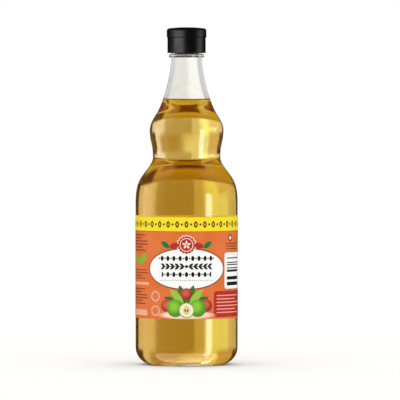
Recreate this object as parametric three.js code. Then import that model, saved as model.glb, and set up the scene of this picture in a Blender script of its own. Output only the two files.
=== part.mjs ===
// A one-litre vinegar bottle: waisted clear glass, the vinegar in it, a wraparound label and a cap.
// Every piece is turned about the upright axis. Millimetres, +Z up, origin at the middle of the base.
import * as THREE from "three";

// Facets round the axis, and straight steps along each curved stretch of an outline and of the small
// roundings at the neck
const SEGMENTS = 40;
const CURVE_STEPS = 4;
const ROUNDING_STEPS = 2;

// Glass: the outline runs from the ring it stands on, round the heel and up to the neck
const BODY_RADIUS = 44;
const HEEL_RADIUS = 15;
const STAND_RING_WIDTH = 4;
const PUNT_HEIGHT = 5;
const BASE_THICKNESS = 5;
const WALL = 2.3;

// Where the outline turns: its radius and height, how far it leans inwards from upright in degrees,
// and how far its direction reaches before and after that point
const BODY_TOP = { radius: BODY_RADIUS, height: 140, lean: 0, before: 0, after: 17 };
const SHOULDER = { radius: 34.8, height: 167.4, lean: 35.6, before: 8, after: 6 };
const WAIST = { radius: 29, height: 179.8, lean: 0, before: 5, after: 9 };
const BULGE = { radius: 31.8, height: 202, lean: 0, before: 9, after: 7 };
const NECK_CONE = { radius: 24.3, height: 219.2, lean: 26.6, before: 5, after: 12 };
const NECK = { radius: 13.2, height: 264.8, lean: 0, before: 14, after: 0 };

// Neck finish: a bead below the cap, then a plain tube with a rounded lip inside the cap
const BEAD_RADIUS = 15.2;
const BEAD_HEIGHT = 2.7;
const BEAD_ROUNDING = 0.9;
const LIP_HEIGHT = 286.5;
const LIP_ROUNDING = 1;

// Vinegar: its level, and how high and how wide its edge climbs the glass
const FILL_HEIGHT = 227.4;
const MENISCUS_HEIGHT = 1.6;
const MENISCUS_WIDTH = 3;
const FILL_GAP = 0.3;

// Label: a band of film round the straight part of the body
const LABEL_BOTTOM = 40.8;
const LABEL_HEIGHT = 87.2;
const LABEL_THICKNESS = 0.25;
const LABEL_GAP = 0.15;

// Cap: a skirt under a wider rim, with a low dome on top and a plug that seals the neck from inside
const CAP_BOTTOM = 268.6;
const CAP_RADIUS = 16.5;
const CAP_RIM_RADIUS = 17.1;
const CAP_RIM_BOTTOM = 13.9;
const CAP_RIM_STEP = 0.7;
const CAP_HEIGHT = 22.2;
const CAP_DOME = 0.9;
const CAP_EDGE_ROUNDING = 2.2;
const CAP_FOOT_ROUNDING = 0.4;
const CAP_GAP = 0.4;
const PLUG_DEPTH = 2.4;

// The unit direction of the outline at a station, pointing up the bottle
function leaning(station) {
  const angle = THREE.MathUtils.degToRad(station.lean);
  return new THREE.Vector2(-Math.sin(angle), Math.cos(angle));
}

// Continues an outline from one station to the next in one smooth curve
function curveBetween(path, from, to) {
  const leave = new THREE.Vector2(from.radius, from.height).addScaledVector(leaning(from), from.after);
  const arrive = new THREE.Vector2(to.radius, to.height).addScaledVector(leaning(to), -to.before);
  path.bezierCurveTo(leave.x, leave.y, arrive.x, arrive.y, to.radius, to.height);
}

// The outside of the glass from the stand ring to the foot of the bead
function wallOutline() {
  const path = new THREE.Path();
  const ringRadius = BODY_RADIUS - HEEL_RADIUS;
  path.moveTo(ringRadius, 0);
  path.absarc(ringRadius, HEEL_RADIUS, HEEL_RADIUS, -Math.PI / 2, 0);
  path.lineTo(BODY_TOP.radius, BODY_TOP.height);
  const stations = [BODY_TOP, SHOULDER, WAIST, BULGE, NECK_CONE, NECK];
  for (let i = 1; i < stations.length; i++) {
    curveBetween(path, stations[i - 1], stations[i]);
  }
  return path;
}

// Points along an outline, each moved towards the axis by the same distance
function insetPoints(path, distance) {
  const points = [];
  for (const curve of path.curves) {
    const steps = curve.isLineCurve ? 1 : CURVE_STEPS;
    for (let i = points.length ? 1 : 0; i <= steps; i++) {
      const point = curve.getPoint(i / steps);
      const along = curve.getTangent(i / steps);
      points.push(new THREE.Vector2(point.x - along.y * distance, point.y + along.x * distance));
    }
  }
  return points;
}

// The inside of the glass, from the middle of its floor to the given height or to the lip
function insideOutline(gap, top) {
  const inset = WALL + gap;
  const floorEdge = BODY_RADIUS - HEEL_RADIUS;
  const floorHeight = BASE_THICKNESS + gap;
  const path = new THREE.Path();
  path.moveTo(0, floorHeight + PUNT_HEIGHT);
  path.quadraticCurveTo(floorEdge / 2, floorHeight + PUNT_HEIGHT, floorEdge, floorHeight);
  const floor = path.getPoints(CURVE_STEPS);
  const wall = insetPoints(wallOutline(), inset).filter(
    (point) => point.y > HEEL_RADIUS && point.y < top,
  );
  const heel = new THREE.Path();
  heel.absellipse(
    floorEdge,
    HEEL_RADIUS,
    HEEL_RADIUS - inset,
    HEEL_RADIUS - floorHeight,
    -Math.PI / 2,
    0,
  );
  return [...floor, ...heel.getPoints(CURVE_STEPS).slice(1), ...wall];
}

// The radius of an outline at a height, taken along the straight step that crosses it
function radiusAt(points, height) {
  const above = points.findIndex((point) => point.y >= height);
  const low = points[above - 1];
  const high = points[above];
  const share = (height - low.y) / (high.y - low.y);
  return THREE.MathUtils.lerp(low.x, high.x, share);
}

// A solid turned about the axis. The outline starts and ends on the axis, or closes on itself.
function turned(points) {
  const geometry = new THREE.LatheGeometry(points, SEGMENTS);
  geometry.rotateX(Math.PI / 2);
  return geometry;
}

function piece(name, geometry, material) {
  const mesh = new THREE.Mesh(geometry, material);
  mesh.name = name;
  return mesh;
}

// Clear glass with a shallow hollow under its base, a bead and a rounded lip
function bottleGlass() {
  const ringInside = BODY_RADIUS - HEEL_RADIUS - STAND_RING_WIDTH;
  const punt = new THREE.Path();
  punt.moveTo(0, PUNT_HEIGHT);
  punt.quadraticCurveTo(ringInside / 2, PUNT_HEIGHT, ringInside, 0);

  const finish = new THREE.Path();
  const beadTop = NECK.height + BEAD_HEIGHT;
  finish.moveTo(NECK.radius, NECK.height);
  finish.lineTo(BEAD_RADIUS - BEAD_ROUNDING, NECK.height);
  finish.quadraticCurveTo(BEAD_RADIUS, NECK.height, BEAD_RADIUS, NECK.height + BEAD_ROUNDING);
  finish.lineTo(BEAD_RADIUS, beadTop - BEAD_ROUNDING);
  finish.quadraticCurveTo(BEAD_RADIUS, beadTop, BEAD_RADIUS - BEAD_ROUNDING, beadTop);
  finish.lineTo(NECK.radius, beadTop);
  finish.lineTo(NECK.radius, LIP_HEIGHT - LIP_ROUNDING);
  finish.quadraticCurveTo(NECK.radius, LIP_HEIGHT, NECK.radius - LIP_ROUNDING, LIP_HEIGHT);
  finish.lineTo(NECK.radius - WALL, LIP_HEIGHT);

  const outside = insetPoints(wallOutline(), 0);
  const inside = insideOutline(0, LIP_HEIGHT).reverse();
  const points = [
    ...punt.getPoints(CURVE_STEPS),
    ...outside,
    ...finish.getPoints(ROUNDING_STEPS).slice(1),
    ...inside,
  ];
  const glass = new THREE.MeshStandardMaterial({
    color: 0xe9ede6,
    roughness: 0.05,
    metalness: 0,
    transparent: true,
    opacity: 0.3,
  });
  return piece("bottle_glass", turned(points), glass);
}

// The vinegar fills the glass to its level, with an edge that climbs the wall a little
function vinegar() {
  const edgeHeight = FILL_HEIGHT + MENISCUS_HEIGHT;
  const wall = insideOutline(FILL_GAP, LIP_HEIGHT);
  const edgeRadius = radiusAt(wall, edgeHeight);
  const surface = new THREE.Path();
  surface.moveTo(edgeRadius, edgeHeight);
  surface.quadraticCurveTo(
    edgeRadius - MENISCUS_WIDTH / 4,
    FILL_HEIGHT,
    edgeRadius - MENISCUS_WIDTH,
    FILL_HEIGHT,
  );
  surface.lineTo(0, FILL_HEIGHT);
  const points = [...insideOutline(FILL_GAP, edgeHeight), ...surface.getPoints(CURVE_STEPS)];
  const amber = new THREE.MeshStandardMaterial({
    color: 0xc8912e,
    roughness: 0.05,
    metalness: 0,
    transparent: true,
    opacity: 0.85,
  });
  return piece("vinegar", turned(points), amber);
}

// A thin band of printed film that goes all the way round
function label() {
  const inside = BODY_RADIUS + LABEL_GAP;
  const outside = inside + LABEL_THICKNESS;
  const points = [
    new THREE.Vector2(inside, 0),
    new THREE.Vector2(outside, 0),
    new THREE.Vector2(outside, LABEL_HEIGHT),
    new THREE.Vector2(inside, LABEL_HEIGHT),
    new THREE.Vector2(inside, 0),
  ];
  const film = new THREE.MeshStandardMaterial({ color: 0xe87a3c, roughness: 0.45, metalness: 0 });
  const mesh = piece("label", turned(points), film);
  mesh.position.z = LABEL_BOTTOM;
  return mesh;
}

// A moulded cap, hollow from below between its skirt and its plug, that covers the neck finish
function cap() {
  const boreRadius = NECK.radius + CAP_GAP;
  const boreTop = LIP_HEIGHT + CAP_GAP - CAP_BOTTOM;
  const plugRadius = NECK.radius - WALL - CAP_GAP;
  const path = new THREE.Path();
  path.moveTo(0, -PLUG_DEPTH);
  path.lineTo(plugRadius, -PLUG_DEPTH);
  path.lineTo(plugRadius, boreTop);
  path.lineTo(boreRadius, boreTop);
  path.lineTo(boreRadius, 0);
  path.lineTo(CAP_RADIUS - CAP_FOOT_ROUNDING, 0);
  path.lineTo(CAP_RADIUS, CAP_FOOT_ROUNDING);
  path.lineTo(CAP_RADIUS, CAP_RIM_BOTTOM - CAP_RIM_STEP);
  path.lineTo(CAP_RIM_RADIUS, CAP_RIM_BOTTOM);
  const topEdge = CAP_HEIGHT - CAP_DOME;
  path.lineTo(CAP_RIM_RADIUS, topEdge - CAP_EDGE_ROUNDING);
  path.quadraticCurveTo(CAP_RIM_RADIUS, topEdge, CAP_RIM_RADIUS - CAP_EDGE_ROUNDING, topEdge);
  path.quadraticCurveTo(CAP_RIM_RADIUS / 2, CAP_HEIGHT, 0, CAP_HEIGHT);
  const plastic = new THREE.MeshStandardMaterial({ color: 0x1c1c1b, roughness: 0.35, metalness: 0 });
  const mesh = piece("cap", turned(path.getPoints(CURVE_STEPS)), plastic);
  mesh.position.z = CAP_BOTTOM;
  return mesh;
}

const bottle = new THREE.Group();
bottle.add(bottleGlass(), vinegar(), label(), cap());

export default bottle;
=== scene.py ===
# %% [markdown]
# # A full vinegar bottle
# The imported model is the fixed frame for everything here: it says where each piece is and how large.
# Each plain solid is replaced by a finer piece of the same form, with the finish of the real thing.

# %% Load the frame
import math
from collections import namedtuple

import bmesh
import bpy
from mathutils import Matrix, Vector


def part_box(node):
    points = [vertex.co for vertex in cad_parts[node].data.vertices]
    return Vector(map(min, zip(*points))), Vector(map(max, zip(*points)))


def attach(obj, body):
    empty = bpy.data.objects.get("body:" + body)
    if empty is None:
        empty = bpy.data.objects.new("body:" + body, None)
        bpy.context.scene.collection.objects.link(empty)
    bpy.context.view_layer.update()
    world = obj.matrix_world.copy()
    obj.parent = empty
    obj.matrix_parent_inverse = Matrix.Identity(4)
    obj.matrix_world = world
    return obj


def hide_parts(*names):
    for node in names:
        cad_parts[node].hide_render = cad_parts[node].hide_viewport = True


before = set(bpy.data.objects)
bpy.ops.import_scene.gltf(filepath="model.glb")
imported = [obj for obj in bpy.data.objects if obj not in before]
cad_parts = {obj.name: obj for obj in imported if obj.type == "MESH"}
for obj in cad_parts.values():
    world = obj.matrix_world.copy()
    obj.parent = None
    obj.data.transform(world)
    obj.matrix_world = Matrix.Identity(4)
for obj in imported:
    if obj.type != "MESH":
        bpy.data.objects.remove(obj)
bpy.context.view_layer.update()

MM = 0.001
print("nodes in the frame:", sorted(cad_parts))

# %% [markdown]
# ## Small helpers
# Colours are written as the hex values that a paint program shows. Blender shades in linear light, so
# one function turns them round. Another adds a node to any tree, with its settings and its links.


# %% Colours and nodes
def linear(hex_colour):
    """An sRGB hex colour as the linear colour that Blender's sockets take."""
    channels = [int(hex_colour[i : i + 2], 16) / 255 for i in (0, 2, 4)]
    return (*[c / 12.92 if c <= 0.04045 else ((c + 0.055) / 1.055) ** 2.4 for c in channels], 1.0)


def set_inputs(tree, node, inputs):
    """Sets a node's inputs, in order or by name. One that is given a node or a socket is linked to it."""
    named = inputs if isinstance(inputs, dict) else dict(enumerate(inputs))
    for name, value in named.items():
        if isinstance(value, bpy.types.Node):
            value = value.outputs[0]
        if isinstance(value, bpy.types.NodeSocket):
            tree.links.new(value, node.inputs[name])
        else:
            node.inputs[name].default_value = value


def add_node(tree, kind, inputs=(), **settings):
    """One new node with its settings and its inputs."""
    node = tree.nodes.new(kind)
    for name, value in settings.items():
        setattr(node, name, value)
    set_inputs(tree, node, inputs)
    return node


print("a mid grey in linear light:", [round(c, 3) for c in linear("808080")])

# %% [markdown]
# ## The camera
# The photograph was taken from far away with a long lens, a little above the middle of the bottle: the
# label's edges sag by one or two pixels, and the cap is seen straight from the side. The scale comes
# from the width of the body, so the bottle lands on the same pixels as in the photograph.

# %% Place the camera
FRAME_PIXELS = 400
BODY_PIXELS = 102
AXIS_PIXEL = 186.6
BASE_PIXEL = 364.4
CAMERA_DISTANCE = 5.0
CAMERA_HEIGHT = 0.255
SENSOR_WIDTH = 36.0

glass_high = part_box("bottle_glass")[1]
BODY_RADIUS = glass_high.x
PIXEL = 2 * BODY_RADIUS / BODY_PIXELS
aim = Vector(((FRAME_PIXELS / 2 - AXIS_PIXEL) * PIXEL, 0, (BASE_PIXEL - FRAME_PIXELS / 2) * PIXEL))
camera = bpy.data.objects.new("camera", bpy.data.cameras.new("camera"))
camera.location = (aim.x, -CAMERA_DISTANCE, CAMERA_HEIGHT)
look = aim - camera.location
camera.rotation_euler = look.to_track_quat("-Z", "Y").to_euler()
camera.data.sensor_width = SENSOR_WIDTH
camera.data.lens = SENSOR_WIDTH * look.length / (FRAME_PIXELS * PIXEL)
bpy.context.scene.collection.objects.link(camera)
bpy.context.scene.camera = camera
print("lens in mm:", round(camera.data.lens), "and one pixel is", round(PIXEL / MM, 3), "mm")

# %% [markdown]
# ## Starting a tree
# The shapes here are made by Geometry Nodes. Their trees start and end alike: the inputs have names, so
# that sizes can be handed in, and the faces come out smooth between crisp corners. A corner is an edge
# where two faces meet at more than a set angle, so no edge has to be picked by hand.

# %% Start a tree
CRISP_ANGLE = math.radians(35)


def new_tree(name, inputs):
    """An empty Geometry Nodes tree with inputs by kind and name, and the sockets that give them."""
    tree = bpy.data.node_groups.new(name, "GeometryNodeTree")
    for kind, names in inputs.items():
        for socket in names:
            tree.interface.new_socket(socket, in_out="INPUT", socket_type="NodeSocket" + kind)
    tree.interface.new_socket("Piece", in_out="OUTPUT", socket_type="NodeSocketGeometry")
    return tree, add_node(tree, "NodeGroupInput").outputs


def crisp_edges(tree, shape):
    """Smooth shading everywhere, apart from edges where the faces meet at a real corner."""
    smooth = add_node(tree, "GeometryNodeSetShadeSmooth", {"Geometry": shape}, domain="FACE")
    bend = add_node(tree, "GeometryNodeInputMeshEdgeAngle").outputs["Unsigned Angle"]
    corner = add_node(tree, "ShaderNodeMath", [bend, CRISP_ANGLE], operation="GREATER_THAN")
    return add_node(
        tree,
        "GeometryNodeSetShadeSmooth",
        {"Geometry": smooth, "Selection": corner, "Shade Smooth": False},
        domain="EDGE",
    )


print("edges stay crisp above", round(math.degrees(CRISP_ANGLE)), "degrees")

# %% [markdown]
# ## Turning an outline
# Bottle, vinegar and cap are all round, so each is one outline turned about the upright axis, as on a
# lathe. Blender's Screw modifier could do it too. A Geometry Nodes tree is used because it can also
# make the inside of the glass a little uneven. It lays out a grid with one row for each point of the
# outline and one column for each step round the axis, and moves every grid point to its place.

# %% Build the turning tree
SAME_PLACE = 1e-6


def unevenness(tree, given, row, place):
    """Slow waves in and out on the rows of the inside, as blown glass has where no mould touches it."""
    finer = add_node(tree, "ShaderNodeMath", [1.0, given["Size of a wave"]], operation="DIVIDE")
    waves = add_node(tree, "ShaderNodeTexNoise", {"Vector": place, "Scale": finer, "Detail": 1.0})
    swing = add_node(tree, "ShaderNodeMath", [waves, 0.5], operation="SUBTRACT")
    depth = add_node(tree, "ShaderNodeMath", [swing, given["Unevenness"]], operation="MULTIPLY")
    inside = add_node(tree, "ShaderNodeMath", [row, given["Inside from row"]], operation="GREATER_THAN")
    moved = add_node(tree, "ShaderNodeMath", [depth, inside], operation="MULTIPLY")
    level = add_node(tree, "ShaderNodeVectorMath", [place, (1, 1, 0)], operation="MULTIPLY")
    outwards = add_node(tree, "ShaderNodeVectorMath", [level], operation="NORMALIZE")
    return add_node(tree, "ShaderNodeVectorMath", {0: outwards, "Scale": moved}, operation="SCALE")


def turning_tree():
    inputs = {
        "Geometry": ["Outline"],
        "Int": ["Steps round", "Inside from row"],
        "Float": ["Unevenness", "Size of a wave"],
        "Material": ["Finish"],
    }
    tree, given = new_tree("turned on the axis", inputs)
    index = add_node(tree, "GeometryNodeInputIndex")
    points = add_node(tree, "GeometryNodeAttributeDomainSize", [given["Outline"]])
    columns = add_node(tree, "ShaderNodeMath", [given["Steps round"], 1], operation="ADD")
    grid = add_node(
        tree, "GeometryNodeMeshGrid", {"Vertices X": points.outputs["Point Count"], "Vertices Y": columns}
    )
    along = add_node(tree, "ShaderNodeMath", [index, columns], operation="DIVIDE")
    row = add_node(tree, "ShaderNodeMath", [along], operation="FLOOR")
    column = add_node(tree, "ShaderNodeMath", [index, columns], operation="MODULO")
    turn = add_node(tree, "ShaderNodeMath", [column, given["Steps round"]], operation="DIVIDE")
    angle = add_node(tree, "ShaderNodeMath", [turn, -math.tau], operation="MULTIPLY")
    place = add_node(
        tree,
        "GeometryNodeSampleIndex",
        {"Geometry": given["Outline"], "Value": add_node(tree, "GeometryNodeInputPosition"), "Index": row},
        data_type="FLOAT_VECTOR",
    )
    turned = add_node(
        tree, "ShaderNodeVectorRotate", {"Vector": place, "Angle": angle}, rotation_type="Z_AXIS"
    )
    shaped = add_node(
        tree,
        "GeometryNodeSetPosition",
        {
            "Geometry": grid.outputs["Mesh"],
            "Position": turned,
            "Offset": unevenness(tree, given, row, turned),
        },
    )
    closed = add_node(tree, "GeometryNodeMergeByDistance", {"Geometry": shaped, "Distance": SAME_PLACE})
    shaded = crisp_edges(tree, closed)
    real = add_node(tree, "GeometryNodeRealizeInstances", {"Geometry": shaded})
    finished = add_node(tree, "GeometryNodeSetMaterial", {"Geometry": real, "Material": given["Finish"]})
    add_node(tree, "NodeGroupOutput", {"Piece": finished})
    return tree


TURNING = turning_tree()
print("turning tree:", len(TURNING.nodes), "nodes")

# %% [markdown]
# ## From a tree to a piece
# A tree works on an object as a modifier, and what it makes is there only while the modifier is. Each
# piece here becomes a plain mesh right away, so that it can be measured and exported. A long straight
# stretch of an outline first gets a point near each end, or its smooth shading would bend.


# %% Run a tree on a piece
ROUND_STEPS = 160
LONG_STRETCH = 6 * MM
SUPPORT = 0.5 * MM
ML = 1e-6


def run_tree(piece, tree, values):
    """Runs a tree on a piece, by the names of its inputs, and leaves the result as a plain mesh."""
    modifier = piece.modifiers.new(tree.name, "NODES")
    modifier.node_group = tree
    for item in tree.interface.items_tree:
        if item.name in values:
            modifier[item.identifier] = values[item.name]
    graph = bpy.context.evaluated_depsgraph_get()
    mesh = bpy.data.meshes.new_from_object(piece.evaluated_get(graph))
    piece.modifiers.clear()
    piece.data = mesh
    mesh.name = piece.name
    return piece


def supported(outline):
    """The outline with a point near each end of a long stretch, so that its shading stays straight."""
    points = list(outline[:1])
    for start, end in zip(outline, outline[1:]):
        length = (end - start).length
        if length > LONG_STRETCH:
            points += [start.lerp(end, SUPPORT / length), end.lerp(start, SUPPORT / length)]
        points.append(end)
    return points


def turned_piece(name, outside, inside, finish, waves=None):
    """A piece turned from (radius, height) points, which run up the outside and down the inside."""
    outside = supported(outside)
    outline = outside + supported(inside)
    mesh = bpy.data.meshes.new(name)
    mesh.from_pydata([(r, 0, z) for r, z in outline], [], [])
    piece = bpy.data.objects.new(name, mesh)
    bpy.context.scene.collection.objects.link(piece)
    sizes = {"Steps round": ROUND_STEPS, "Inside from row": len(outside), "Finish": finish}
    run_tree(piece, TURNING, sizes | (waves or {"Unevenness": 0.0, "Size of a wave": 1.0}))
    checked = bmesh.new()
    checked.from_mesh(piece.data)
    print(name, len(checked.faces), "faces, volume in ml:", round(checked.calc_volume(signed=True) / ML, 1))
    checked.free()
    return piece


print("steps round the axis:", ROUND_STEPS)

# %% [markdown]
# ## The outline of the glass
# The outside runs from the ring that the bottle stands on, round the heel, up the straight body, in
# at the waist, out at the bulge and up to the neck. Each turning point has a direction, and a reach
# that says how long the curve keeps to it, which is what the handles of a Bezier curve are.

# %% Draw the outside of the glass
Turn = namedtuple("Turn", "radius height lean before after")
HEEL_RADIUS = 15 * MM
STAND_RING_WIDTH = 4 * MM
PUNT_HEIGHT = 5 * MM
BASE_THICKNESS = 5 * MM
WALL = 2.3 * MM
CURVE_STEPS = 16
CORNER_STEPS = 6
TURNS = [
    Turn(BODY_RADIUS, 140 * MM, 0, 0, 17 * MM),
    Turn(34.8 * MM, 167.4 * MM, 35.6, 8 * MM, 6 * MM),
    Turn(29 * MM, 179.8 * MM, 0, 5 * MM, 9 * MM),
    Turn(31.8 * MM, 202 * MM, 0, 9 * MM, 7 * MM),
    Turn(24.3 * MM, 219.2 * MM, 26.6, 5 * MM, 12 * MM),
    Turn(13.2 * MM, 264.8 * MM, 0, 14 * MM, 0),
]
NECK = TURNS[-1]


def bezier(start, leave, arrive, end, steps):
    """Points along a cubic curve, without its first."""
    points = []
    for i in range(1, steps + 1):
        t = i / steps
        s = 1 - t
        points.append(start * s**3 + leave * 3 * s * s * t + arrive * 3 * s * t * t + end * t**3)
    return points


def arc(centre, radii, start, end, steps):
    """Points along an ellipse between two angles in degrees, without the first."""
    angles = [math.radians(start + (end - start) * i / steps) for i in range(1, steps + 1)]
    return [Vector((centre[0] + radii[0] * math.cos(a), centre[1] + radii[1] * math.sin(a))) for a in angles]


def along_turns(turns):
    points = [Vector((turns[0].radius, turns[0].height))]
    for before, after in zip(turns, turns[1:]):
        start = Vector((before.radius, before.height))
        end = Vector((after.radius, after.height))
        leaving = Vector((-math.sin(math.radians(before.lean)), math.cos(math.radians(before.lean))))
        arriving = Vector((-math.sin(math.radians(after.lean)), math.cos(math.radians(after.lean))))
        points += bezier(
            start, start + leaving * before.after, end - arriving * after.before, end, CURVE_STEPS
        )
    return points


def inset(points, distance):
    """The same outline moved towards the axis, square to itself."""
    moved = []
    for i, point in enumerate(points):
        along = (points[min(i + 1, len(points) - 1)] - points[max(i - 1, 0)]).normalized()
        moved.append(Vector((point.x - along.y * distance, point.y + along.x * distance)))
    return moved


RING_RADIUS = BODY_RADIUS - HEEL_RADIUS
upper_outside = along_turns(TURNS)
heel_outside = arc((RING_RADIUS, HEEL_RADIUS), (HEEL_RADIUS, HEEL_RADIUS), -90, 0, CURVE_STEPS)
print("outside of the glass:", len(heel_outside) + len(upper_outside), "points")

# %% [markdown]
# ## Clear glass
# Soda-lime glass blown in a mould: the outside is as smooth as the mould, and the inside, which no mould
# touches, waves a little. An index of 1.52 bends what is seen through it. Like most finishes it is one
# Principled shader, whose sockets are set by their names.


# %% Melt the glass
def new_material(name, values):
    """A material whose Principled shader has the given values, with its node tree and that shader."""
    material = bpy.data.materials.new(name)
    material.use_nodes = True
    tree = material.node_tree
    shader = tree.nodes["Principled BSDF"]
    set_inputs(tree, shader, values)
    return material, tree, shader


def clear_glass():
    """Clear soda-lime glass: nearly no colour of its own, only mirror images and a bent background."""
    values = {
        "Base Color": linear("FBFBF7"),
        "Transmission Weight": 1.0,
        "Roughness": 0.0,
        "IOR": 1.52,
    }
    return new_material("soda-lime glass, blown in a mould", values)[0]


glass = clear_glass()
print("glass:", glass.name)

# %% [markdown]
# ## The wall of the bottle
# The wall has an outside and an inside, because a single skin would look like a soap bubble. The base
# is hollow underneath, so that the bottle stands on a ring and doesn't rock. At the top are a bead, just
# below the cap, and a rounded lip.

# %% Turn the glass
WAVE_DEPTH = 0.5 * MM
WAVE_SIZE = 24 * MM
BEAD_RADIUS = 15.2 * MM
BEAD_HEIGHT = 2.7 * MM
BEAD_ROUNDING = 1.1 * MM
LIP_ROUNDING = 1 * MM
LIP_HEIGHT = glass_high.z


def dome(radius, foot):
    """A low dome from its middle down to its foot, as high as the hollow under the base."""
    shares = [i / CURVE_STEPS for i in range(CURVE_STEPS + 1)]
    return [Vector((radius * t, foot + PUNT_HEIGHT * (1 - t * t))) for t in shares]


def inside_of_glass(distance, floor):
    """The inside from the middle of its floor to the neck, at a distance from the outside."""
    radii = (HEEL_RADIUS - distance, HEEL_RADIUS - floor)
    heel = arc((RING_RADIUS, HEEL_RADIUS), radii, -90, 0, CURVE_STEPS)
    return dome(RING_RADIUS, floor) + heel + inset(upper_outside, distance)


def outside_of_glass():
    punt = dome(RING_RADIUS - STAND_RING_WIDTH, 0)
    ring = [Vector((RING_RADIUS, 0))]
    bead_low = NECK.height
    bead_top = NECK.height + BEAD_HEIGHT
    bead_centre = BEAD_RADIUS - BEAD_ROUNDING
    rounding = (BEAD_ROUNDING, BEAD_ROUNDING)
    bead = [Vector((bead_centre, bead_low))]
    bead += arc((bead_centre, bead_low + BEAD_ROUNDING), rounding, -90, 0, CORNER_STEPS)
    bead += [Vector((BEAD_RADIUS, bead_top - BEAD_ROUNDING))]
    bead += arc((bead_centre, bead_top - BEAD_ROUNDING), rounding, 0, 90, CORNER_STEPS)
    neck = [Vector((NECK.radius, bead_top)), Vector((NECK.radius, LIP_HEIGHT - LIP_ROUNDING))]
    lip_centre = (NECK.radius - LIP_ROUNDING, LIP_HEIGHT - LIP_ROUNDING)
    neck += arc(lip_centre, (LIP_ROUNDING, LIP_ROUNDING), 0, 90, CORNER_STEPS)
    bore = [Vector((NECK.radius - WALL, LIP_HEIGHT))]
    return punt + ring + heel_outside + upper_outside + bead + neck + bore


bottle = turned_piece(
    "clear_bottle",
    outside_of_glass(),
    inside_of_glass(WALL, BASE_THICKNESS)[::-1],
    glass,
    {"Unevenness": WAVE_DEPTH, "Size of a wave": WAVE_SIZE},
)

# %% [markdown]
# ## Vinegar
# Cider vinegar is a clear liquid whose colour comes from its depth: thin at the edges and deep in the
# middle. So the colour isn't on its surface. It is a volume that takes a little of each colour on
# every millimetre of the way, most of the blue and least of the red.
# The liquid reaches a little into the glass, since a gap of air would turn the wall into a mirror. Where
# vinegar touches glass there is almost no reflection, so its surface is told to mirror nothing.


# %% Pour the vinegar
LEFT_OF_LIGHT = "EEDE72"
DEPTH_OF_COLOUR = 62.0


def cider_vinegar():
    """Cider vinegar: pale straw where it is thin, amber in the middle and brown on the longest ways."""
    values = {
        "Base Color": linear("FFFFFF"),
        "Transmission Weight": 1.0,
        "Roughness": 0.0,
        "IOR": 1.34,
        "Specular Tint": linear("000000"),
    }
    material, tree, _ = new_material("cider vinegar, clear amber liquid", values)
    depth = {"Color": linear(LEFT_OF_LIGHT), "Density": DEPTH_OF_COLOUR}
    volume = add_node(tree, "ShaderNodeVolumeAbsorption", depth)
    set_inputs(tree, tree.nodes["Material Output"], {"Volume": volume})
    return material


INTO_WALL = 0.4 * MM
MENISCUS_HEIGHT = 1.6 * MM
MENISCUS_WIDTH = 3 * MM
FILL_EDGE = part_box("vinegar")[1].z


def vinegar_outline():
    wall = inside_of_glass(WALL - INTO_WALL, BASE_THICKNESS - INTO_WALL)
    below = [point for point in wall if point.y < FILL_EDGE]
    above = wall[len(below)]
    share = (FILL_EDGE - below[-1].y) / (above.y - below[-1].y)
    edge = below[-1].lerp(above, share)
    level = FILL_EDGE - MENISCUS_HEIGHT
    surface = bezier(
        edge,
        Vector((edge.x - MENISCUS_WIDTH * 0.2, level + MENISCUS_HEIGHT * 0.3)),
        Vector((edge.x - MENISCUS_WIDTH * 0.5, level)),
        Vector((edge.x - MENISCUS_WIDTH, level)),
        CURVE_STEPS,
    )
    return below + [edge] + surface + [Vector((0, level))]


vinegar = turned_piece("vinegar_fill", vinegar_outline(), [], cider_vinegar())

# %% [markdown]
# ## The cap
# The cap is moulded in one piece: a plain skirt, a rim that stands out a little at the top, a low dome,
# and a plug that shuts the neck from inside and shows through it as a dark edge. No edge of a moulded
# piece is quite sharp, so every corner of the outline is a small arc that catches a line of light.


# %% Turn the cap
# The real skin is finer than a tenth of a millimetre, so it is drawn coarse enough to show
PEEL_SIZE = 1.2 * MM
PEEL_DEPTH = 0.05 * MM
WEAR_SIZE = 9 * MM


def laid_over(tree, colour, inks):
    """A colour with inks or other tones laid over it, each as far as its mask says."""
    for ink, mask in inks:
        laid = add_node(
            tree, "ShaderNodeMix", {"Factor": mask, "A": colour, "B": linear(ink)}, data_type="RGBA"
        )
        colour = laid.outputs["Result"]
    return colour


def moulded_plastic():
    """Black polypropylene from a polished mould: deep black and satin, with a faint skin like peel."""
    material, tree, shader = new_material("black polypropylene, moulded", {"IOR": 1.49})
    place = add_node(tree, "ShaderNodeTexCoord").outputs["Object"]
    peel = add_node(tree, "ShaderNodeTexNoise", {"Vector": place, "Scale": 1 / PEEL_SIZE})
    wear = add_node(tree, "ShaderNodeTexNoise", {"Vector": place, "Scale": 1 / WEAR_SIZE})
    tone = laid_over(tree, linear("050505"), [("0B0B0A", wear)])
    gloss = add_node(
        tree,
        "ShaderNodeMapRange",
        {"Value": wear, "From Min": 0.3, "From Max": 0.7, "To Min": 0.3, "To Max": 0.42},
    )
    skin = add_node(tree, "ShaderNodeBump", {"Strength": 0.15, "Distance": PEEL_DEPTH, "Height": peel})
    set_inputs(tree, shader, {"Base Color": tone, "Roughness": gloss, "Normal": skin})
    return material


PLUG_LOW, CAP_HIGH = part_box("cap")
CAP_RIM_RADIUS = CAP_HIGH.x
CAP_RADIUS = 16.5 * MM
CAP_FOOT = CAP_HIGH.z - 22.2 * MM
CAP_RIM_BOTTOM = CAP_FOOT + 13.9 * MM
CAP_RIM_STEP = 0.7 * MM
CAP_DOME = 0.9 * MM
CAP_EDGE_ROUNDING = 2.2 * MM
CAP_CORNER = 0.35 * MM
CAP_GAP = 0.4 * MM


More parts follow.
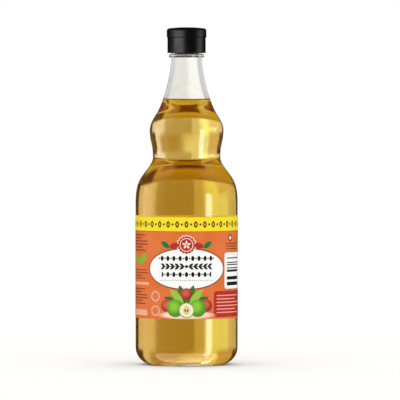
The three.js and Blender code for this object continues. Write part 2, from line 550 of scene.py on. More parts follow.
def cap_outline():
    bore = NECK.radius + CAP_GAP
    bore_top = LIP_HEIGHT + CAP_GAP
    plug = NECK.radius - WALL - CAP_GAP
    corner = (CAP_CORNER, CAP_CORNER)
    points = [Vector((0, PLUG_LOW.z)), Vector((plug - CAP_CORNER, PLUG_LOW.z))]
    points += arc((plug - CAP_CORNER, PLUG_LOW.z + CAP_CORNER), corner, -90, 0, CORNER_STEPS)
    points += [Vector((plug, bore_top)), Vector((bore, bore_top)), Vector((bore, CAP_FOOT))]
    points.append(Vector((CAP_RADIUS - CAP_CORNER, CAP_FOOT)))
    points += arc((CAP_RADIUS - CAP_CORNER, CAP_FOOT + CAP_CORNER), corner, -90, 0, CORNER_STEPS)
    points.append(Vector((CAP_RADIUS, CAP_RIM_BOTTOM - CAP_RIM_STEP)))
    points += arc((CAP_RIM_RADIUS - CAP_CORNER, CAP_RIM_BOTTOM), corner, -60, 0, CORNER_STEPS)
    shoulder = CAP_HIGH.z - CAP_DOME - CAP_EDGE_ROUNDING
    rounding = (CAP_EDGE_ROUNDING, CAP_EDGE_ROUNDING)
    points.append(Vector((CAP_RIM_RADIUS, shoulder)))
    points += arc((CAP_RIM_RADIUS - CAP_EDGE_ROUNDING, shoulder), rounding, 0, 90, 2 * CORNER_STEPS)
    edge = points[-1]
    top = Vector((0, CAP_HIGH.z))
    crown = Vector((CAP_RIM_RADIUS / 2, CAP_HIGH.z))
    points += bezier(edge, edge.lerp(crown, 2 / 3), top.lerp(crown, 2 / 3), top, CURVE_STEPS)
    return points


cap = turned_piece("screw_cap", cap_outline(), [], moulded_plastic())

# %% [markdown]
# ## The label's strip
# The label is one long strip of printed film that goes once round the body and overlaps itself at the
# back. A second Geometry Nodes tree starts from the flat strip, as the printer does. It gives the strip
# its thickness and then bends it round the glass. The strip keeps a flat map of itself, called wrap, so
# that the print can be drawn on it in plain millimetres.


# %% Build the wrapping tree
def bent_place(tree, given):
    """Where a point of the flat strip goes: round the axis, and up by a thickness at the overlap."""
    flat = add_node(tree, "ShaderNodeSeparateXYZ", [add_node(tree, "GeometryNodeInputPosition")])
    angle = add_node(tree, "ShaderNodeMath", [flat.outputs["X"], given["Radius"]], operation="DIVIDE")
    end = add_node(tree, "ShaderNodeMath", [given["Length"], 0.5], operation="MULTIPLY")
    lapped = add_node(tree, "ShaderNodeMath", [end, given["Overlap"]], operation="SUBTRACT")
    before = add_node(tree, "ShaderNodeMath", [lapped, given["Ramp"]], operation="SUBTRACT")
    lift = add_node(
        tree,
        "ShaderNodeMapRange",
        {
            "Value": flat.outputs["X"],
            "From Min": before,
            "From Max": lapped,
            "To Min": 0.0,
            "To Max": given["Thickness"],
        },
        interpolation_type="SMOOTHSTEP",
    )
    out = add_node(tree, "ShaderNodeMath", [flat.outputs["Z"], lift], operation="ADD")
    radius = add_node(tree, "ShaderNodeMath", [out, given["Radius"]], operation="ADD")
    front = add_node(tree, "ShaderNodeMath", [radius, -1.0], operation="MULTIPLY")
    middle = add_node(
        tree, "ShaderNodeMath", [given["Height"], 0.5, given["Bottom"]], operation="MULTIPLY_ADD"
    )
    up = add_node(tree, "ShaderNodeMath", [flat.outputs["Y"], middle], operation="ADD")
    facing = add_node(tree, "ShaderNodeCombineXYZ", {"X": 0.0, "Y": front, "Z": up})
    return add_node(
        tree, "ShaderNodeVectorRotate", {"Vector": facing, "Angle": angle}, rotation_type="Z_AXIS"
    )


def wrapping_tree():
    inputs = {
        "Float": ["Length", "Height", "Thickness", "Radius", "Bottom", "Overlap", "Ramp"],
        "Int": ["Steps round", "Steps up"],
        "Material": ["Print", "Back"],
    }
    tree, given = new_tree("strip wrapped round a body", inputs)
    strip = add_node(
        tree,
        "GeometryNodeMeshGrid",
        {
            "Size X": given["Length"],
            "Size Y": given["Height"],
            "Vertices X": given["Steps round"],
            "Vertices Y": given["Steps up"],
        },
    )
    flat = add_node(
        tree,
        "GeometryNodeStoreNamedAttribute",
        {"Geometry": strip.outputs["Mesh"], "Name": "wrap", "Value": strip.outputs["UV Map"]},
        data_type="FLOAT2",
        domain="CORNER",
    )
    front = add_node(
        tree,
        "GeometryNodeExtrudeMesh",
        {"Mesh": flat, "Offset Scale": given["Thickness"], "Individual": False},
        mode="FACES",
    )
    turned = add_node(tree, "GeometryNodeFlipFaces", [flat])
    back = add_node(tree, "GeometryNodeSetMaterial", {"Geometry": turned, "Material": given["Back"]})
    both = add_node(tree, "GeometryNodeJoinGeometry", [front.outputs["Mesh"]])
    set_inputs(tree, both, [back])
    film = add_node(tree, "GeometryNodeMergeByDistance", {"Geometry": both, "Distance": SAME_PLACE})
    bent = add_node(
        tree, "GeometryNodeSetPosition", {"Geometry": film, "Position": bent_place(tree, given)}
    )
    real = add_node(tree, "GeometryNodeRealizeInstances", {"Geometry": crisp_edges(tree, bent)})
    behind = add_node(tree, "GeometryNodeMaterialSelection", [given["Back"]])
    ahead = add_node(tree, "FunctionNodeBooleanMath", [behind], operation="NOT")
    printed = add_node(
        tree, "GeometryNodeSetMaterial", {"Geometry": real, "Selection": ahead, "Material": given["Print"]}
    )
    add_node(tree, "NodeGroupOutput", {"Piece": printed})
    return tree


WRAPPING = wrapping_tree()
print("wrapping tree:", len(WRAPPING.nodes), "nodes")

# %% [markdown]
# ## Drawing with masks
# The print is drawn in the material, so it stays sharp at any size. Each shape is a mask: 1 inside and
# 0 outside, worked out from the distance to its middle. A disc is a plain distance, a panel is the
# distance to a smaller box, and a leaf is where two discs overlap. An ink is then laid over what is
# below it wherever its mask is 1, one ink after the other, as in a printing press.


# %% Draw plain shapes
INK_EDGE = 0.12


def within(tree, distance, edge, soft=INK_EDGE):
    """The mask of everything nearer than an edge, in millimetres, with a border as soft as ink's."""
    return add_node(
        tree,
        "ShaderNodeMapRange",
        {"Value": distance, "From Min": edge - soft, "From Max": edge + soft, "To Min": 1.0, "To Max": 0.0},
        interpolation_type="SMOOTHSTEP",
    )


def placed(tree, sheet, centre, turn=0, stretch=1):
    """The sheet measured from a shape's middle, along its own direction."""
    return add_node(
        tree,
        "ShaderNodeMapping",
        {
            "Vector": sheet,
            "Location": (*centre, 0),
            "Rotation": (0, 0, math.radians(turn)),
            "Scale": (stretch, 1, 1),
        },
        vector_type="TEXTURE",
    )


def oval(tree, sheet, centre, width, height, soft=INK_EDGE):
    place = placed(tree, sheet, centre, stretch=width / height)
    distance = add_node(tree, "ShaderNodeVectorMath", [place], operation="LENGTH")
    return within(tree, distance.outputs["Value"], height / 2, soft)


def panel(tree, sheet, centre, width, height, corner=0.2, turn=0, soft=INK_EDGE):
    core = (width / 2 - corner, height / 2 - corner, 0)
    away = add_node(tree, "ShaderNodeVectorMath", [placed(tree, sheet, centre, turn)], operation="ABSOLUTE")
    past = add_node(tree, "ShaderNodeVectorMath", [away, core], operation="SUBTRACT")
    out = add_node(tree, "ShaderNodeVectorMath", [past, (0, 0, 0)], operation="MAXIMUM")
    distance = add_node(tree, "ShaderNodeVectorMath", [out], operation="LENGTH")
    return within(tree, distance.outputs["Value"], corner, soft)


def leaf(tree, sheet, centre, length, width, turn=0):
    bow = (length**2 + width**2) / (4 * width)
    away = add_node(tree, "ShaderNodeVectorMath", [placed(tree, sheet, centre, turn)], operation="ABSOLUTE")
    moved = add_node(tree, "ShaderNodeVectorMath", [away, (0, bow - width / 2, 0)], operation="ADD")
    distance = add_node(tree, "ShaderNodeVectorMath", [moved], operation="LENGTH")
    return within(tree, distance.outputs["Value"], bow)


def rosette(tree, sheet, centre, radius, petals, depth):
    place = placed(tree, sheet, centre)
    distance = add_node(tree, "ShaderNodeVectorMath", [place], operation="LENGTH")
    sides = add_node(tree, "ShaderNodeSeparateXYZ", [place])
    angle = add_node(tree, "ShaderNodeMath", [sides.outputs["X"], sides.outputs["Y"]], operation="ARCTAN2")
    turns = add_node(tree, "ShaderNodeMath", [angle, petals], operation="MULTIPLY")
    wave = add_node(tree, "ShaderNodeMath", [turns], operation="COSINE")
    inner = add_node(
        tree, "ShaderNodeMath", [wave, -depth, distance.outputs["Value"]], operation="MULTIPLY_ADD"
    )
    return within(tree, inner, radius)


print("soft edge of an ink in mm:", 2 * INK_EDGE)

# %% [markdown]
# ## Rows and layers
# A row of ornaments is one drawing: the sheet is folded again and again onto a short stretch of itself.
# Lines of many lengths, and bars, come from a draw that is fixed by their number, so each run gives the
# same ones. Masks are joined into larger ones before an ink is laid where they are.


# %% Draw rows and join masks
FAR = 1000
SHORTEST_LINE = 0.7
BARE_BARS = 0.45


def repeated(tree, sheet, pitch):
    """The sheet folded onto one stretch of it, so that what is drawn there comes back at each pitch."""
    return add_node(
        tree, "ShaderNodeVectorMath", [sheet, (pitch / 2, FAR, 1), (-pitch / 2, -FAR, -1)], operation="WRAP"
    )


def every(tree, masks):
    """Where all masks are."""
    result = masks[0]
    for mask in masks[1:]:
        result = add_node(tree, "ShaderNodeMath", [result, mask], operation="MINIMUM")
    return result


def either(tree, masks):
    """Where any mask is."""
    result = masks[0]
    for mask in masks[1:]:
        result = add_node(tree, "ShaderNodeMath", [result, mask], operation="MAXIMUM")
    return result


def ragged_lines(tree, sheet, centre, width, pitch, lines, weight):
    """Plain lines one below the other, each of another length by a fixed draw."""
    place = placed(tree, sheet, (centre[0] - width / 2, centre[1] - pitch * lines / 2))
    sides = add_node(tree, "ShaderNodeSeparateXYZ", [place])
    row = add_node(tree, "ShaderNodeMath", [sides.outputs["Y"], pitch], operation="DIVIDE")
    number = add_node(tree, "ShaderNodeMath", [row], operation="FLOOR")
    drawn = add_node(tree, "ShaderNodeTexWhiteNoise", {"W": number}, noise_dimensions="1D")
    length = add_node(
        tree,
        "ShaderNodeMapRange",
        {"Value": drawn.outputs["Value"], "To Min": SHORTEST_LINE * width, "To Max": width},
    )
    past = add_node(tree, "ShaderNodeMath", [sides.outputs["X"], length], operation="SUBTRACT")
    share = add_node(tree, "ShaderNodeMath", [row], operation="FRACT")
    middle = add_node(tree, "ShaderNodeMath", [share, 0.5], operation="SUBTRACT")
    off = add_node(tree, "ShaderNodeMath", [middle], operation="ABSOLUTE")
    stroke = within(tree, off, weight / pitch / 2, INK_EDGE / pitch)
    return every(tree, [stroke, within(tree, past, 0), panel(tree, sheet, centre, width, pitch * lines)])


def bars(tree, sheet, centre, width, height, step):
    """Bars of one or more steps, dark or bare by a fixed draw."""
    sides = add_node(tree, "ShaderNodeSeparateXYZ", [sheet])
    row = add_node(tree, "ShaderNodeMath", [sides.outputs["Y"], step], operation="DIVIDE")
    number = add_node(tree, "ShaderNodeMath", [row], operation="FLOOR")
    drawn = add_node(tree, "ShaderNodeTexWhiteNoise", {"W": number}, noise_dimensions="1D")
    dark = add_node(tree, "ShaderNodeMath", [drawn.outputs["Value"], BARE_BARS], operation="GREATER_THAN")
    return every(tree, [dark, panel(tree, sheet, centre, width, height)])


print("shortest line:", SHORTEST_LINE, "of the longest, and bare bars:", BARE_BARS, "of all")

# %% [markdown]
# ## What is printed
# Sizes are in millimetres on the flat strip: across from the middle of the front, and up from its lower
# edge. The design is a plain one of common ornaments: a yellow band, a white oval with rows of leaves
# and lozenges, a rosette, fruit with leaves, and panels with plain lines.

# %% Name the inks
LABEL_LOW, LABEL_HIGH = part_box("label")
LABEL_TALL = (LABEL_HIGH.z - LABEL_LOW.z) / MM
YELLOW = "FFE500"
BROWN = "5B3A00"
CREAM = "FFF1D6"
WHITE = "FFFFFF"
RED = "C4161C"
PEACH = "F7B48C"
BLACK = "1D1916"
GREY = "9A9A96"
GREEN = "12803C"
LIME = "7CC41E"
RUST = "93461C"
print("label in mm:", round(LABEL_TALL, 1), "tall")

# %% [markdown]
# ## The band
# A yellow band closes the label at the top. Its ornaments come back at each pitch all the way round, so
# a lozenge and a dot are drawn once, on a folded sheet.

# %% Draw the band
BAND_TALL = 12.3
BAND_LOW = LABEL_TALL - BAND_TALL
BAND_PITCH = 8.0


def band_inks(tree, sheet):
    middle = BAND_LOW + BAND_TALL / 2
    cell = repeated(tree, sheet, BAND_PITCH)
    between = repeated(tree, placed(tree, sheet, (BAND_PITCH / 2, 0)), BAND_PITCH)
    lozenges = leaf(tree, cell, (0, middle), 6.0, 3.4, 90)
    dots = oval(tree, between, (0, middle), 1.9, 1.9)
    return [
        (YELLOW, panel(tree, sheet, (0, middle + 1), FAR, BAND_TALL + 2)),
        ("D9620F", panel(tree, sheet, (0, BAND_LOW), FAR, 0.7)),
        (BROWN, either(tree, [lozenges, dots])),
        (YELLOW, leaf(tree, cell, (0, middle), 2.6, 1.1, 90)),
    ]


print("band in mm:", BAND_TALL, "tall, with a lozenge every", BAND_PITCH)

# %% [markdown]
# ## The oval
# The white oval in the middle has a soft rusty rim, two rows of lozenges with dots between them, and a
# sprig with leaves. The four quarters of the sprig are alike, so only one of them is drawn, on a sheet
# that is folded twice through its middle.

# %% Draw the oval
OVAL_MIDDLE = (0, 43)
OVAL_WIDE = 69
OVAL_TALL = 34
RIM = 2.2
RIM_SOFT = 0.5
ROWS = [(52.0, 25), (38.2, 22)]
ROW_PITCH = 5.4
SPRIG_MIDDLE = (0, 45.1)
SPRIG_LEAVES = 5
DOTS_MIDDLE = (0, 33.2)
DOTS_PITCH = 1.7


def oval_inks(tree, sheet):
    dark = []
    cell = repeated(tree, sheet, ROW_PITCH)
    between = repeated(tree, placed(tree, sheet, (ROW_PITCH / 2, 0)), ROW_PITCH)
    for height, reach in ROWS:
        lozenges = leaf(tree, cell, (0, height), 4.6, 2.9, 90)
        row = either(tree, [lozenges, oval(tree, between, (0, height), 1.3, 1.3)])
        dark.append(every(tree, [row, panel(tree, sheet, (0, height), 2 * reach, 6)]))
    dark.append(panel(tree, sheet, SPRIG_MIDDLE, 42, 0.6))
    away = add_node(
        tree, "ShaderNodeVectorMath", [placed(tree, sheet, SPRIG_MIDDLE)], operation="ABSOLUTE"
    )
    for i in range(SPRIG_LEAVES):
        dark.append(leaf(tree, away, (4.0 + 4.2 * i, 1.3), 4.6, 1.9, 32))
    dark.append(oval(tree, sheet, SPRIG_MIDDLE, 2.6, 2.6))
    dot = oval(tree, repeated(tree, sheet, DOTS_PITCH), DOTS_MIDDLE, 0.9, 0.9)
    return [
        (RUST, oval(tree, sheet, OVAL_MIDDLE, OVAL_WIDE + RIM, OVAL_TALL + RIM, RIM_SOFT)),
        (WHITE, oval(tree, sheet, OVAL_MIDDLE, OVAL_WIDE, OVAL_TALL)),
        (BLACK, either(tree, dark)),
        (GREY, every(tree, [dot, panel(tree, sheet, DOTS_MIDDLE, 48, 2)])),
    ]


print("oval in mm:", OVAL_WIDE, "by", OVAL_TALL)

# %% [markdown]
# ## Rosette and fruit
# A rosette is a disc whose edge swings in and out as it goes round. The fruit are discs with a soft
# lighter spot towards the upper left, which makes them look round. Leaves stand behind them in a fan,
# and a cut fruit with two seeds lies in front.

# %% Draw the rosette and the fruit
ROSETTE_MIDDLE = (0, 63.6)
RED_FRUIT = ("A8201A", "DF5A40")
GREEN_FRUIT = ("4E9A12", "8FD32A")
FRUIT = [
    ((0, 21.5), 5.0, RED_FRUIT),
    ((-17.5, 11.5), 5.2, RED_FRUIT),
    ((17.5, 11.5), 5.2, RED_FRUIT),
    ((-9.6, 9.2), 7.4, GREEN_FRUIT),
    ((9.6, 9.2), 7.4, GREEN_FRUIT),
]
FAN_OF_LEAVES = (18, 42, 66, 86)
FAN_FOOT = 10
CUT_MIDDLE = (0, 7.6)


def rosette_inks(tree, sheet):
    red = [rosette(tree, sheet, ROSETTE_MIDDLE, 7.4, 16, 0.45)]
    green = []
    for side in (-1, 1):
        red.append(leaf(tree, sheet, (10.5 * side, 62.8), 9, 5.2, -12 * side))
        green.append(leaf(tree, sheet, (18.5 * side, 63.6), 9.5, 4.6, 35 * side))
    return [
        (GREEN, either(tree, green)),
        (CREAM, rosette(tree, sheet, ROSETTE_MIDDLE, 8.2, 16, 0.45)),
        (RED, either(tree, red)),
        (CREAM, oval(tree, sheet, ROSETTE_MIDDLE, 11.6, 11.6)),
        (RED, oval(tree, sheet, ROSETTE_MIDDLE, 10.4, 10.4)),
        (CREAM, rosette(tree, sheet, ROSETTE_MIDDLE, 2.5, 5, 1.2)),
        (RED, oval(tree, sheet, ROSETTE_MIDDLE, 1.8, 1.8)),
    ]


def fruit_inks(tree, sheet):
    inks = [("FBE3C4", oval(tree, sheet, (0, 3.4), 46, 6.4, 0.8))]
    dark_leaves = []
    light_leaves = []
    for i, lean in enumerate(FAN_OF_LEAVES):
        for side in (-1, 1):
            turn = 90 - lean * side
            reach = 11.5 + 0.8 * i
            rise = FAN_FOOT + reach * math.sin(math.radians(turn))
            middle = (reach * math.cos(math.radians(turn)), rise)
            group = light_leaves if i % 2 else dark_leaves
            group.append(leaf(tree, sheet, middle, 17, 6.2, turn))
    inks.append(("2F7F1E", either(tree, dark_leaves)))
    inks.append(("9ACB3A", either(tree, light_leaves)))
    for (x, y), radius, (shade, tone) in FRUIT:
        inks.append((shade, oval(tree, sheet, (x, y), 2 * radius, 2 * radius)))
        middle = (x - 0.15 * radius, y + 0.2 * radius)
        inks.append((tone, oval(tree, sheet, middle, 1.3 * radius, 1.3 * radius, 0.45 * radius)))
    inks.append(("6FA51C", oval(tree, sheet, CUT_MIDDLE, 13.4, 13.4)))
    inks.append(("F8F0CC", oval(tree, sheet, CUT_MIDDLE, 11.9, 11.9)))
    inks.append(("E6D58E", leaf(tree, sheet, CUT_MIDDLE, 8.4, 5.4, 90)))
    seeds = [leaf(tree, sheet, (1.1 * side, 7.4), 2.8, 1.3, 90 - 14 * side) for side in (-1, 1)]
    inks.append(("6B3A14", either(tree, seeds)))
    return inks


print("fruit:", len(FRUIT), "and leaves in the fan:", 2 * len(FAN_OF_LEAVES))

# %% [markdown]
# ## The sides
# Round the sides are small panels with plain lines, a pair of leaves, two rings and a white panel with
# bars. Each is placed by its middle, and later ones lie over earlier ones.

# %% Draw the sides
RING_MIDDLES = [(-28.5, 19.4), (-28.5, 7)]
BARS_MIDDLE = (50.5, 41)


def side_inks(tree, sheet):
    rings = [oval(tree, sheet, middle, 9, 9) for middle in RING_MIDDLES]
    holes = [oval(tree, sheet, middle, 6.8, 6.8) for middle in RING_MIDDLES]
    twin = [leaf(tree, sheet, (-51 + 6 * side, 51), 14, 6.4, 90 - 52 * side) for side in (-1, 1)]
    return [
        (RUST, ragged_lines(tree, sheet, (-54, 65), 36, 2.6, 6, 1.1)),
        (LIME, either(tree, twin)),
        (RUST, ragged_lines(tree, sheet, (-54, 38), 36, 2.4, 4, 0.9)),
        (PEACH, panel(tree, sheet, (-52, 30), 32, 2.2, 0.6)),
        (RUST, ragged_lines(tree, sheet, (-54, 19), 36, 2.5, 6, 1.0)),
        (PEACH, panel(tree, sheet, (-50, 5), 24, 5, 1.0)),
        (PEACH, either(tree, rings)),
        ("E8793C", either(tree, holes)),
        (BLACK, oval(tree, sheet, (44.6, 69.2), 5.6, 5.6)),
        (CREAM, oval(tree, sheet, (44.6, 69.2), 3.4, 3.4)),
        (RUST, ragged_lines(tree, sheet, (50, 62), 24, 2.3, 3, 0.9)),
        (WHITE, panel(tree, sheet, BARS_MIDDLE, 28, 31, 2.2)),
        (BLACK, bars(tree, sheet, BARS_MIDDLE, 22, 25.5, 0.95)),
        (RED, panel(tree, sheet, (46, 12.6), 43, 22.4, 3)),
        (PEACH, ragged_lines(tree, sheet, (45.5, 12.6), 36, 2.9, 6, 0.9)),
    ]


print("rings:", len(RING_MIDDLES), "and the panel of bars at", BARS_MIDDLE)

# %% [markdown]
# ## Printed film
# The label is polypropylene film with a satin varnish. Print on film is even but not dead flat: the
# orange ground has slow clouds of peach, and a fine grain from the screen of the press breaks it up.
# The film is thin, so the studio's light would shine through it. Its back is given a painted glow, an
# emission that stands in for that light.


# %% Print the film
CLOUD_SIZE = 26.0
# The screen of a press is too fine to show, so the grain is drawn coarser
GRAIN_SIZE = 0.6
GRAIN_DEPTH = 0.02 * MM
STREAK_SIZE = 7 * MM
# Strength of the painted glow on the film's back: an emission that stands in for light shining through the
# film
PAINTED_GLOW_OF_BACK = 1.6
STUCK_IN = 0.05 * MM
LABEL_OVERLAP = 6 * MM
LABEL_INSIDE = BODY_RADIUS - STUCK_IN
STRIP_LENGTH = math.tau * LABEL_INSIDE + LABEL_OVERLAP


def printed_film():
    """Printed film: an orange ground with inks in clear, even colours under a satin varnish."""
    material, tree, shader = new_material("polypropylene film, printed and varnished", {})
    flat = add_node(tree, "ShaderNodeUVMap", uv_map="wrap")
    sheet = add_node(
        tree,
        "ShaderNodeVectorMath",
        [flat, (STRIP_LENGTH / MM, LABEL_TALL, 0), (-STRIP_LENGTH / MM / 2, 0, 0)],
        operation="MULTIPLY_ADD",
    )
    clouds = add_node(tree, "ShaderNodeTexNoise", {"Vector": sheet, "Scale": 1 / CLOUD_SIZE, "Detail": 3.0})
    drift = add_node(
        tree,
        "ShaderNodeMapRange",
        {"Value": clouds, "From Min": 0.4, "From Max": 0.75, "To Min": 0.0, "To Max": 0.55},
    )
    ground = [("F3894A", drift)]
    inks = ground + side_inks(tree, sheet) + oval_inks(tree, sheet) + fruit_inks(tree, sheet)
    inks += rosette_inks(tree, sheet) + band_inks(tree, sheet)
    colour = laid_over(tree, linear("E76D20"), inks)
    grain = add_node(tree, "ShaderNodeTexNoise", {"Vector": sheet, "Scale": 1 / GRAIN_SIZE, "Detail": 2.0})
    gloss = add_node(
        tree,
        "ShaderNodeMapRange",
        {"Value": grain, "From Min": 0.3, "From Max": 0.7, "To Min": 0.38, "To Max": 0.5},
    )
    skin = add_node(tree, "ShaderNodeBump", {"Strength": 0.1, "Distance": GRAIN_DEPTH, "Height": grain})
    set_inputs(tree, shader, {"Base Color": colour, "Roughness": gloss, "Normal": skin})
    print("print:", len(inks), "inks,", len(tree.nodes), "nodes")
    return material


def film_back():
    """The white back of the film, cloudy with adhesive, with a painted glow that stands in for light from
    outside. Seen through the vinegar.
    """
    values = {
        "Roughness": 0.7,
        # Painted glow: an emission on the back that stands in for light through the film
        "Emission Color": linear("E6F2E0"),
        "Emission Strength": PAINTED_GLOW_OF_BACK,
    }
    material, tree, shader = new_material("polypropylene film, white back", values)
    place = add_node(tree, "ShaderNodeTexCoord").outputs["Object"]
    streaks = add_node(tree, "ShaderNodeTexNoise", {"Vector": place, "Scale": 1 / STREAK_SIZE})
    white = laid_over(tree, linear("E6E3DC"), [("F4F3F0", streaks)])
    set_inputs(tree, shader, {"Base Color": white})
    return material


printed_side = printed_film()
white_back = film_back()

# %% [markdown]
# ## Round the body
# The strip is bent round the glass and runs a little over its own end, where it climbs by its thickness.
# One more map lays the outside and the back one above the other, so that both fit one picture when they
# are exported.

# %% Wrap the label
FILM_THICKNESS = 0.25 * MM
LABEL_RAMP = 4 * MM
STEPS_ROUND_LABEL = 241
STEPS_UP_LABEL = 25
BACK_SHARE = 0.1
MAP_MARGIN = 0.01

label = bpy.data.objects.new("printed_label", bpy.data.meshes.new("printed_label"))
bpy.context.scene.collection.objects.link(label)
run_tree(
    label,
    WRAPPING,
    {
        "Length": STRIP_LENGTH,
        "Height": LABEL_HIGH.z - LABEL_LOW.z,
        "Thickness": FILM_THICKNESS,
        "Radius": LABEL_INSIDE,
        "Bottom": LABEL_LOW.z,
        "Overlap": LABEL_OVERLAP,
        "Ramp": LABEL_RAMP,
        "Steps round": STEPS_ROUND_LABEL,
        "Steps up": STEPS_UP_LABEL,
        "Print": printed_side,
        "Back": white_back,
    },
)


def bake_map(piece, back):
    """The map for an exported picture: the outside over most of its height, and the back below."""
    piece.data.uv_layers.new(name="OFBake")
    flat = piece.data.uv_layers["wrap"].data
    baked = piece.data.uv_layers["OFBake"].data
    for face in piece.data.polygons:
        behind = piece.data.materials[face.material_index] == back
        low, high = (0, BACK_SHARE) if behind else (BACK_SHARE, 1)
        tall = high - low - 2 * MAP_MARGIN
        for corner in face.loop_indices:
            along, up = flat[corner].uv
            across = MAP_MARGIN + (1 - 2 * MAP_MARGIN) * along
            baked[corner].uv = (across, low + MAP_MARGIN + tall * up)


bake_map(label, white_back)
print("label:", len(label.data.polygons), "faces, maps:", [m.name for m in label.data.uv_layers])

# %% [markdown]
# ## The studio
# Clear things are lit by what is behind them, so most of the light here is a backdrop: flat panels of
# light, each with its place in degrees round the bottle and above or below the horizon. They are far
# away, so the world can hold them, and they are laid over one another like the inks of the label. A
# panel from -200 to 200 degrees reaches past a full turn, so that it closes behind the camera.

# %% Hang the panels
Panel = namedtuple("Panel", "left right low high soft light")
BRIGHTNESS = 4.0
FRAME_OF_BACKDROP = [
    Panel(-200, 200, -100, 100, 1, "9794B4"),
    Panel(-72, 68, -90, 90, 5, "100F0E"),
]
BACKDROP = [
    Panel(-58, 50, -90, 90, 1.5, "8987A4"),
    Panel(20, 47, -90, 90, 2.2, "A9AAF8"),
    Panel(-57, -4.2, -90, 90, 1.0, "A0A7E6"),
    Panel(-33, -10.8, -90, 90, 2.2, "B9D4FF"),
    Panel(-17.5, 2, 2.5, 90, 4, "A8B2E0"),
    Panel(5, 27, 2.5, 90, 4, "80756C"),
    Panel(-48, -20, -0.1, 90, 4, "968A8A"),
    Panel(-48, -21, -30, -4.2, 3.5, "A8A4BC"),
    Panel(37, 64, 1.5, 60, 3, "24150A"),
    Panel(-68, -42, 1.5, 60, 3, "24150A"),
]
TABLE = [
    Panel(-57, 44, -90, -13.5, 0.8, "827230"),
    Panel(-57, 44, -90, -18.5, 2.0, "8E7F32"),
    Panel(26, 50, -26, -13.5, 2.5, "38260F"),
    Panel(6, 20, -30, -22, 1.8, "6E5826"),
    Panel(-200, 200, -100, -31, 1.5, "A19579"),
    Panel(-16, 13, -45, -31, 3.0, "7A5C25"),
    Panel(-15, 8, -29.5, -22, 2.2, "4A2B10"),
]
BEHIND_VINEGAR = FRAME_OF_BACKDROP + BACKDROP + TABLE
BEHIND_NECK = [
    Panel(-200, 200, -100, 100, 1, "797979"),
    Panel(-16, 14, -90, 90, 3, "838382"),
    Panel(0.5, 11.5, -90, 90, 1.2, "91918F"),
    Panel(-200, 200, -100, -18, 4, "262624"),
]
MIRRORED = [
    Panel(-200, 200, -100, 100, 1, "0F0F0F"),
    Panel(-115, -63, -90, 90, 8, "424242"),
    Panel(63, 115, -90, 90, 8, "424242"),
]
print("panels behind the vinegar:", len(BEHIND_VINEGAR), "and behind the neck:", len(BEHIND_NECK))

# %% [markdown]
# ## What a ray sees
# A full bottle is a strong lens and swaps left and right, while the empty neck doesn't, and a mirrored
# panel would fog both. So the world counts how often a ray has gone through a surface: never is a mirror
# image, up to four times is the two walls of the empty neck, and more is a way through the vinegar.

# %% Light the studio
NECK_SURFACES = 4
OVERHEAD = 0.4
AROUND = 0.95


def hung(tree, sky, panels):
    """The light of panels that hang at their places in the sky, later ones in front of earlier ones."""
    inks = []
    for left, right, low, high, soft, light in panels:
        middle = ((left + right) / 2, (low + high) / 2)
        inks.append((light, panel(tree, sky, middle, right - left, high - low, soft, soft=soft)))
    return laid_over(tree, linear("000000"), inks)


def directions(tree):
    """Each ray's direction in degrees: to the right of straight behind, and above the horizon."""
    ray = add_node(tree, "ShaderNodeTexCoord").outputs["Generated"]
    sides = add_node(tree, "ShaderNodeSeparateXYZ", [ray]).outputs
    turn = add_node(tree, "ShaderNodeMath", [sides["X"], sides["Y"]], operation="ARCTAN2")
    rise = add_node(tree, "ShaderNodeMath", [sides["Z"]], operation="ARCSINE")
    right = add_node(tree, "ShaderNodeMath", [turn], operation="DEGREES")
    up = add_node(tree, "ShaderNodeMath", [rise], operation="DEGREES")
    sky = add_node(tree, "ShaderNodeCombineXYZ", {"X": right, "Y": up})
    return sky, sides["Z"]


def studio_world():
    """A world that shows each ray the light for its way: later tests come before earlier ones."""
    world = bpy.data.worlds.new("studio")
    world.use_nodes = True
    tree = world.node_tree
    sky, height = directions(tree)
    rays = add_node(tree, "ShaderNodeLightPath").outputs
    passed = rays["Transmission Depth"]
    depths = ((passed, 2), (passed, NECK_SURFACES), (passed, NECK_SURFACES + 1), (rays["Glossy Depth"], 1))
    in_glass, in_both_walls, in_vinegar, mirrored = [
        add_node(tree, "ShaderNodeMath", [depth, least - 0.5], operation="GREATER_THAN")
        for depth, least in depths
    ]
    fogged = every(tree, [in_both_walls, mirrored])
    in_neck = add_node(tree, "ShaderNodeMath", [in_glass, fogged], operation="SUBTRACT")
    soft = add_node(tree, "ShaderNodeMath", [height, OVERHEAD, AROUND], operation="MULTIPLY_ADD")
    dim = {"Color": hung(tree, sky, MIRRORED), "Strength": BRIGHTNESS}
    seen = add_node(tree, "ShaderNodeBackground", dim)
    for test, light, strength in (
        (in_neck, hung(tree, sky, BEHIND_NECK), BRIGHTNESS),
        (in_vinegar, hung(tree, sky, BEHIND_VINEGAR), BRIGHTNESS),
        (rays["Is Diffuse Ray"], soft, 1.0),
        (rays["Is Camera Ray"], linear("FFFFFF"), 1.0),
    ):
        lit = add_node(tree, "ShaderNodeBackground", {"Color": light, "Strength": strength})
        seen = add_node(tree, "ShaderNodeMixShader", [test, seen, lit])
    set_inputs(tree, tree.nodes["World Output"], {"Surface": seen})
    print("studio:", len(tree.nodes), "nodes")
    return world


scene = bpy.context.scene
scene.view_settings.view_transform = "Standard"
# The way through a full bottle crosses six surfaces, and mirror images inside the glass add more
scene.cycles.max_bounces = 32
scene.cycles.glossy_bounces = 16
scene.cycles.transmission_bounces = 32
scene.world = studio_world()

# %% [markdown]
# ## Softboxes
# The bright upright strip on the glass and the sheen on the cap are mirror images of softboxes at the
# sides of the camera. Each is a rectangular lamp whose size and place give the size and place of its
# image. A lamp lights only the piece it is meant for, as a photographer screens off the others.

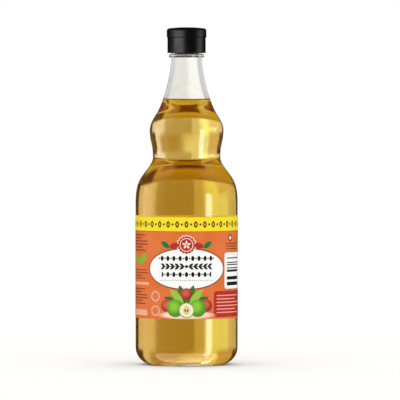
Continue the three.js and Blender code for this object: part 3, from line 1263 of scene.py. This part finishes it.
# %% Set up the softboxes
Softbox = namedtuple("Softbox", "name bearing distance bottom top width radiance")
SOFTBOXES = [
    (Softbox("core of the strip", 50, 0.55, -0.5, 0.24, 0.13, 6), bottle),
    (Softbox("edge of the strip", 50, 0.56, -0.5, 0.25, 0.22, 1.8), bottle),
    (Softbox("panel on the left", -98, 0.6, 0.105, 0.34, 0.35, 0.9), bottle),
    (Softbox("left panel for the cap", -47, 0.6, 0.15, 0.42, 0.72, 3.0), cap),
    (Softbox("right panel for the cap", 85, 0.6, 0.15, 0.42, 0.36, 1.25), cap),
]


def lamp(name, shape, width, height, radiance, lit_piece):
    """A lamp that is as bright as its radiance, seen only as its mirror image in one piece."""
    data = bpy.data.lights.new(name, "AREA")
    data.shape = shape
    data.size = width
    data.size_y = height
    area = width * height * (math.pi / 4 if shape == "ELLIPSE" else 1)
    data.energy = radiance * math.pi * area
    made = bpy.data.objects.new(name, data)
    made.visible_camera = False
    made.visible_diffuse = False
    made.visible_transmission = False
    lit = bpy.data.collections.new("lit by the " + name)
    lit.objects.link(lit_piece)
    made.light_linking.receiver_collection = lit
    scene.collection.objects.link(made)
    return made


def softbox(box, lit_piece):
    """An upright lamp that faces the bottle, at a bearing in degrees from the camera's side."""
    made = lamp(box.name, "RECTANGLE", box.width, box.top - box.bottom, box.radiance, lit_piece)
    turn = math.radians(box.bearing)
    middle = (box.bottom + box.top) / 2
    made.location = (box.distance * math.sin(turn), -box.distance * math.cos(turn), middle)
    made.rotation_euler = (math.pi / 2, 0, turn)
    return made


for box, lit_piece in SOFTBOXES:
    softbox(box, lit_piece)
print("softboxes:", len(SOFTBOXES))

# %% [markdown]
# ## The lit table
# The glow in the heel is the mirror image of a lit table top, and the strip ends there in a curved foot.
# Both are oval lamps that lie below the bottle and face up.

# %% Light the table
TableLamp = namedtuple("TableLamp", "name x y turn width reach radiance colour")
TABLE_DEPTH = 0.3
TABLE_LAMPS = [
    TableLamp("lit table top", 0, -0.24, 0, 1.2, 0.62, 4.0, "FFE0A8"),
    TableLamp("foot of the strip", 0.18, 0, 28, 0.085, 0.46, 5.0, "FFFAF0"),
]

for flat in TABLE_LAMPS:
    made = lamp(flat.name, "ELLIPSE", flat.width, flat.reach, flat.radiance, bottle)
    made.location = (flat.x, flat.y, -TABLE_DEPTH)
    made.rotation_euler = (math.pi, 0, math.radians(flat.turn))
    made.data.color = linear(flat.colour)[:3]

# %% [markdown]
# ## The floor
# The bottle stands on a plain matt disc, nearly white like the ground of the photograph. It takes the
# soft shadow that shows where the bottle touches it. The glass doesn't see the disc, because the
# panels above already say what lies below the horizon.

# %% Lay the floor
FLOOR_RADIUS = 0.6
FLOOR_SIDES = 96


def matt_floor():
    mesh = bpy.data.meshes.new("floor")
    disc = bmesh.new()
    bmesh.ops.create_circle(disc, cap_ends=True, segments=FLOOR_SIDES, radius=FLOOR_RADIUS)
    disc.to_mesh(mesh)
    disc.free()
    values = {"Base Color": linear("F7F7F5"), "Roughness": 1.0, "Specular IOR Level": 0.0}
    mesh.materials.append(new_material("matt white paint", values)[0])
    return bpy.data.objects.new("floor", mesh)


floor = matt_floor()
floor.visible_glossy = False
floor.visible_transmission = False
scene.collection.objects.link(floor)
print("floor in m across:", 2 * FLOOR_RADIUS)

# %% [markdown]
# ## Back to the frame
# Every piece is tied to the one body of the model, and takes the place of a solid there, which is hidden.

# %% Fit the pieces to the frame
for piece, node, slot in [
    (bottle, "bottle_glass", "glass"),
    (vinegar, "vinegar", "vinegar"),
    (label, "label", "label"),
    (cap, "cap", "cap"),
]:
    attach(piece, "root")
    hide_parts(node)
